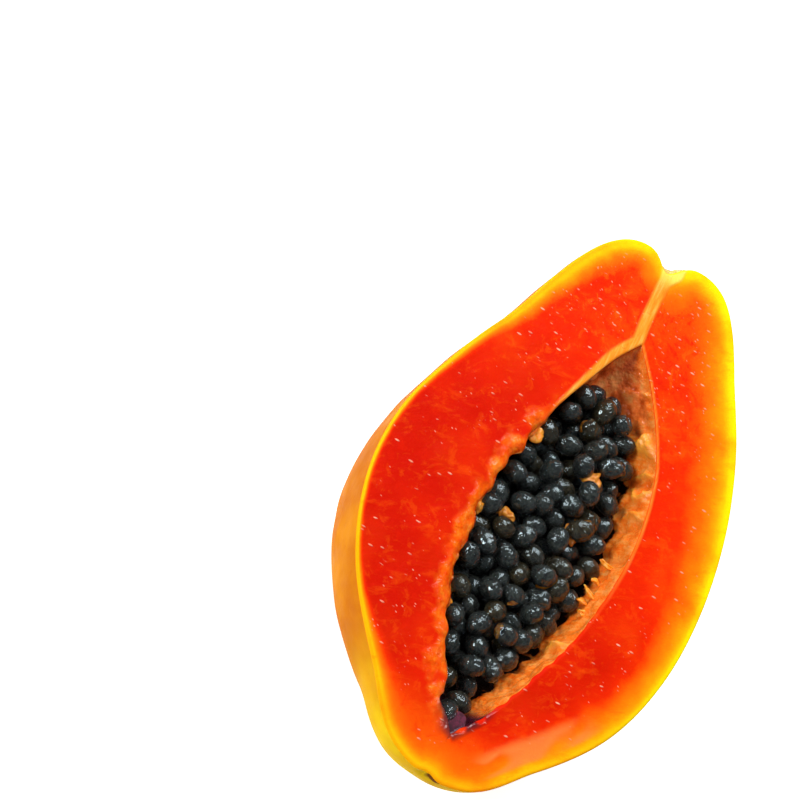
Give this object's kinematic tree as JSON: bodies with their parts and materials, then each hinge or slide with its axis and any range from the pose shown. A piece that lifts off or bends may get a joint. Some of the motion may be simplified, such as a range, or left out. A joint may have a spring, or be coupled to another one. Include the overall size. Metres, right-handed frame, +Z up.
{
  "type": "papaya half",
  "caption": "Half of a ripe papaya, cut lengthwise, lying on its skin with red-orange flesh and a hollow of glossy black seeds facing up.",
  "frame": {"origin": "middle of the half's footprint on the table, at the level of the flat spot it rests on", "axes": "+Y towards the stem end, +X to the right of the cut face seen from above with the stem end away, +Z up out of the cut face"},
  "size_m": [0.1054, 0.174, 0.0497],
  "materials": {
    "flesh": "moist red-orange fruit flesh, yellow towards the peel",
    "skin": "smooth waxy yellow-orange peel with faint green and brown marks",
    "seed": "black seed in a wet clear grey gel coat",
    "seed_pulp": "wet dark seeds bedded in orange-brown pulp",
    "pulp": "torn wet orange pulp and pale seed stalks"
  },
  "bodies": {
    "root": {"papaya_half": "flesh", "seed_01": "seed", "seed_02": "seed", "seed_03": "seed", "seed_04": "seed", "seed_05": "seed", "seed_06": "seed", "seed_07": "seed", "seed_08": "seed", "seed_09": "seed", "seed_10": "seed", "seed_11": "seed", "seed_12": "seed", "seed_13": "seed", "seed_14": "seed", "seed_15": "seed", "seed_16": "seed", "seed_17": "seed", "seed_18": "seed", "seed_19": "seed", "seed_20": "seed", "seed_21": "seed", "seed_22": "seed", "seed_23": "seed", "seed_24": "seed", "seed_25": "seed", "seed_26": "seed", "seed_27": "seed", "seed_28": "seed", "seed_29": "seed", "seed_30": "seed", "seed_31": "seed", "seed_32": "seed", "seed_33": "seed", "seed_34": "seed", "seed_35": "seed", "seed_36": "seed", "seed_37": "seed", "seed_38": "seed", "seed_39": "seed", "seed_40": "seed", "seed_41": "seed", "seed_42": "seed", "seed_43": "seed", "seed_44": "seed", "seed_45": "seed", "seed_46": "seed", "seed_47": "seed", "seed_48": "seed", "seed_49": "seed", "seed_50": "seed", "seed_51": "seed", "seed_52": "seed", "seed_53": "seed", "seed_54": "seed", "seed_55": "seed", "seed_56": "seed", "seed_57": "seed", "seed_58": "seed", "seed_bed": "seed_pulp"}
  },
  "joints": []
}
